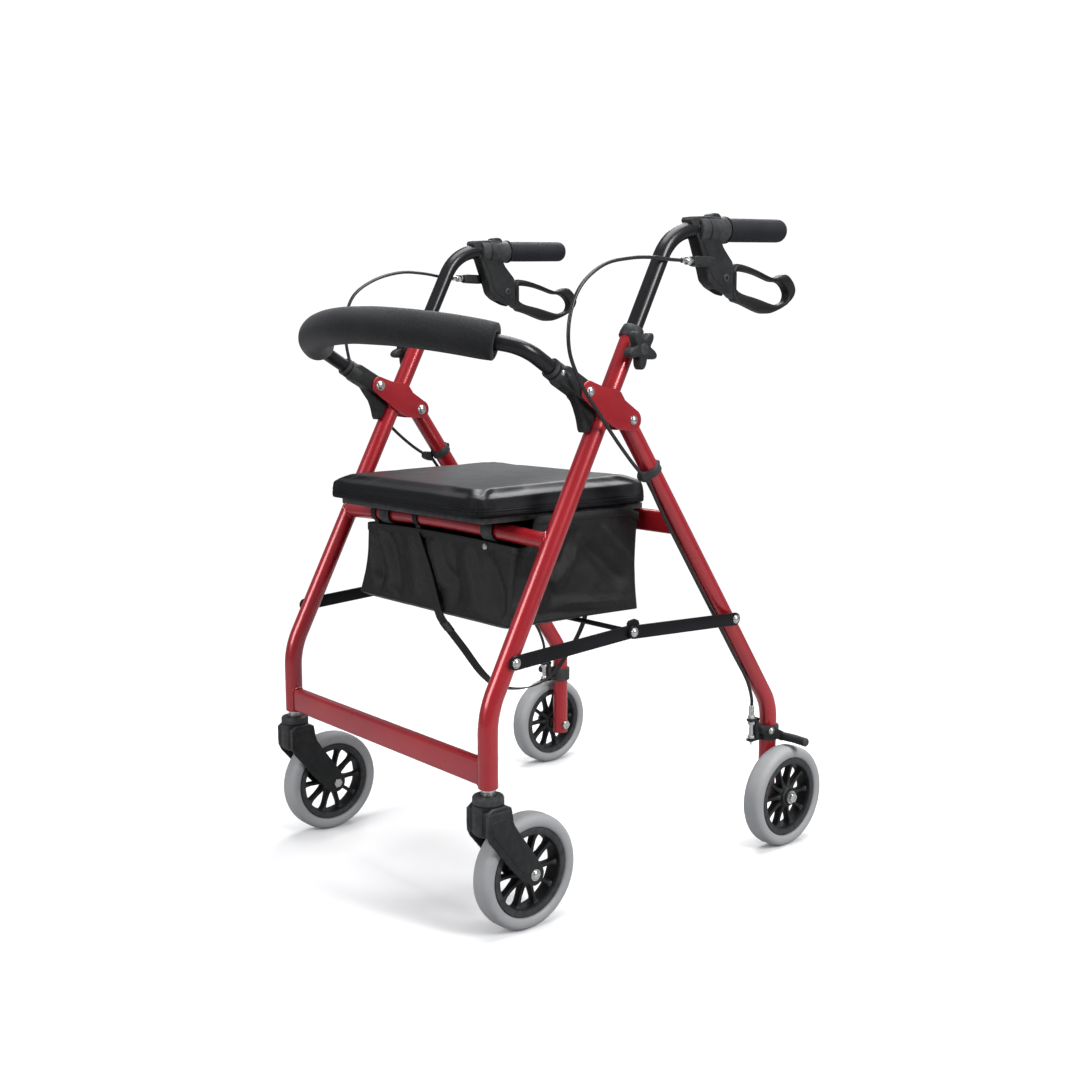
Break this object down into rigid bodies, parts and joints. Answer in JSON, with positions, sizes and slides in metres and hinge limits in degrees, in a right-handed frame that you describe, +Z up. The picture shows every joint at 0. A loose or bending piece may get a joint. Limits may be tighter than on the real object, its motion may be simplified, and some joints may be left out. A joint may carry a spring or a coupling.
{
  "type": "rollator walker",
  "caption": "Folding four-wheeled walker with a padded seat, under-seat bag, foam backrest, height-adjustable handles and hand brakes.",
  "frame": {"origin": "centre of the footprint, on the floor", "axes": "+Z up; the user walks towards -Y with the handles at +Y; +X is the user's left"},
  "size_m": [0.602, 0.6675, 0.9145],
  "materials": {
    "red_paint": "gloss",
    "black_tube": "gloss",
    "black_plastic": "matte",
    "grip": "matte",
    "foam": "matte",
    "vinyl": "satin",
    "nylon": "matte",
    "grey_tyre": "matte",
    "zinc_bolt": "satin",
    "cable_jacket": "satin"
  },
  "bodies": {
    "front_frame": {"front_leg_left": "red_paint", "front_leg_right": "red_paint", "side_plate_left": "red_paint", "side_plate_right": "red_paint", "pivot_bolt_left": "zinc_bolt", "pivot_bolt_right": "zinc_bolt", "tube_collar_left": "black_plastic", "tube_collar_right": "black_plastic", "caster_stem_left": "zinc_bolt", "caster_stem_right": "zinc_bolt", "brake_cable_left": "cable_jacket", "brake_cable_right": "cable_jacket", "upper_cross_tube": "red_paint", "lower_crossbar": "red_paint", "bag": "nylon", "bag_strap": "nylon"},
    "rear_frame": {"rear_leg_left": "red_paint", "rear_leg_right": "red_paint", "brake_bracket_left": "black_plastic", "brake_bracket_right": "black_plastic", "rear_axle_left": "zinc_bolt", "rear_axle_right": "zinc_bolt", "rear_crossbar": "red_paint"},
    "front_link": {"front_strut_left": "black_tube", "front_strut_right": "black_tube", "lock_rod": "black_tube"},
    "rear_link": {"rear_strut_left": "black_tube", "rear_strut_right": "black_tube"},
    "backrest": {"hinge_block_left": "black_plastic", "hinge_block_right": "black_plastic", "backrest_tube": "black_tube", "backrest_pad": "foam"},
    "seat": {"seat_board": "black_plastic", "seat_cushion": "vinyl"},
    "handle_left": {"handle_tube_left": "black_tube", "hand_grip_left": "grip", "lever_housing_left": "black_plastic", "cable_adjuster_left": "zinc_bolt"},
    "lever_left": {"brake_lever_left": "black_plastic"},
    "knob_left": {"star_knob_left": "black_plastic"},
    "shoe_left": {"brake_shoe_left": "black_plastic"},
    "rear_wheel_left": {"rear_hub_left": "black_plastic", "rear_tyre_left": "grey_tyre"},
    "caster_left": {"caster_fork_left": "black_plastic", "front_axle_left": "zinc_bolt"},
    "front_wheel_left": {"front_hub_left": "black_plastic", "front_tyre_left": "grey_tyre"},
    "handle_right": {"handle_tube_right": "black_tube", "hand_grip_right": "grip", "lever_housing_right": "black_plastic", "cable_adjuster_right": "zinc_bolt"},
    "lever_right": {"brake_lever_right": "black_plastic"},
    "knob_right": {"star_knob_right": "black_plastic"},
    "shoe_right": {"brake_shoe_right": "black_plastic"},
    "rear_wheel_right": {"rear_hub_right": "black_plastic", "rear_tyre_right": "grey_tyre"},
    "caster_right": {"caster_fork_right": "black_plastic", "front_axle_right": "zinc_bolt"},
    "front_wheel_right": {"front_hub_right": "black_plastic", "front_tyre_right": "grey_tyre"}
  },
  "joints": [
    {"name": "fold", "type": "hinge", "parent": "front_frame", "child": "rear_frame", "pos_m": [0, -0.0463, 0.641], "axis": [1, 0, 0], "range_deg": [-30, 0], "deforming": ["bag", "bag_strap", "brake_cable_left", "brake_cable_right"]},
    {"name": "front_link_turn", "type": "hinge", "parent": "front_frame", "child": "front_link", "pos_m": [0, -0.2438, 0.351], "axis": [1, 0, 0], "range_deg": [-0.5, 37], "deforming": ["bag", "bag_strap"]},
    {"name": "rear_link_turn", "type": "hinge", "parent": "rear_frame", "child": "rear_link", "pos_m": [0, 0.1557, 0.354], "axis": [1, 0, 0], "range_deg": [-35.4, 0.5], "deforming": ["bag", "bag_strap"]},
    {"name": "seat_lift", "type": "hinge", "parent": "front_frame", "child": "seat", "pos_m": [0, -0.1723, 0.4961], "axis": [1, 0, 0], "range_deg": [0, 75]},
    {"name": "backrest_flip", "type": "hinge", "parent": "front_frame", "child": "backrest", "pos_m": [0, -0.1223, 0.679], "axis": [1, 0, 0], "range_deg": [-85, 0]},
    {"name": "handle_height_left", "type": "slide", "parent": "front_frame", "child": "handle_left", "axis": [0, 0.4617, 0.887], "range_m": [-0.1, 0.04], "deforming": ["brake_cable_left"]},
    {"name": "brake_lever_squeeze_left", "type": "hinge", "parent": "handle_left", "child": "lever_left", "pos_m": [0.235, 0.1327, 0.828], "axis": [1, 0, 0], "range_deg": [-14, 10], "stiffness_Nm_per_rad": 6},
    {"name": "brake_shoe_press_left", "type": "hinge", "parent": "rear_frame", "child": "shoe_left", "pos_m": [0.235, 0.2417, 0.174], "axis": [1, 0, 0], "range_deg": [-7.2, 10.2]},
    {"name": "knob_turn_left", "type": "hinge", "parent": "front_frame", "child": "knob_left", "pos_m": [0.235, -0.04587, 0.73115], "axis": [1, 0, 0], "range_deg": [0, 720]},
    {"name": "caster_swivel_left", "type": "hinge", "parent": "front_frame", "child": "caster_left", "pos_m": [0.235, -0.2753, 0.185], "axis": [0, 0, 1], "continuous": true},
    {"name": "front_wheel_spin_left", "type": "hinge", "parent": "caster_left", "child": "front_wheel_left", "pos_m": [0.235, -0.2173, 0.075], "axis": [1, 0, 0], "continuous": true},
    {"name": "rear_wheel_spin_left", "type": "hinge", "parent": "rear_frame", "child": "rear_wheel_left", "pos_m": [0.266, 0.2587, 0.075], "axis": [1, 0, 0], "continuous": true},
    {"name": "handle_height_right", "type": "slide", "parent": "front_frame", "child": "handle_right", "axis": [0, 0.4617, 0.887], "range_m": [-0.1, 0.04], "deforming": ["brake_cable_right"]},
    {"name": "brake_lever_squeeze_right", "type": "hinge", "parent": "handle_right", "child": "lever_right", "pos_m": [-0.235, 0.1327, 0.828], "axis": [1, 0, 0], "range_deg": [-14, 10], "stiffness_Nm_per_rad": 6},
    {"name": "brake_shoe_press_right", "type": "hinge", "parent": "rear_frame", "child": "shoe_right", "pos_m": [-0.235, 0.2417, 0.174], "axis": [1, 0, 0], "range_deg": [-7.2, 10.2]},
    {"name": "knob_turn_right", "type": "hinge", "parent": "front_frame", "child": "knob_right", "pos_m": [-0.235, -0.04587, 0.73115], "axis": [-1, 0, 0], "range_deg": [0, 720]},
    {"name": "caster_swivel_right", "type": "hinge", "parent": "front_frame", "child": "caster_right", "pos_m": [-0.235, -0.2753, 0.185], "axis": [0, 0, 1], "continuous": true},
    {"name": "front_wheel_spin_right", "type": "hinge", "parent": "caster_right", "child": "front_wheel_right", "pos_m": [-0.235, -0.2173, 0.075], "axis": [1, 0, 0], "continuous": true},
    {"name": "rear_wheel_spin_right", "type": "hinge", "parent": "rear_frame", "child": "rear_wheel_right", "pos_m": [-0.266, 0.2587, 0.075], "axis": [1, 0, 0], "continuous": true}
  ],
  "couplings": [
    {"joint": "front_link_turn", "follows": "fold", "ratio": -1.2182},
    {"joint": "rear_link_turn", "follows": "fold", "ratio": 1.1646},
    {"joint": "brake_shoe_press_left", "follows": "brake_lever_squeeze_left", "ratio": -0.7},
    {"joint": "brake_shoe_press_right", "follows": "brake_lever_squeeze_right", "ratio": -0.7}
  ]
}
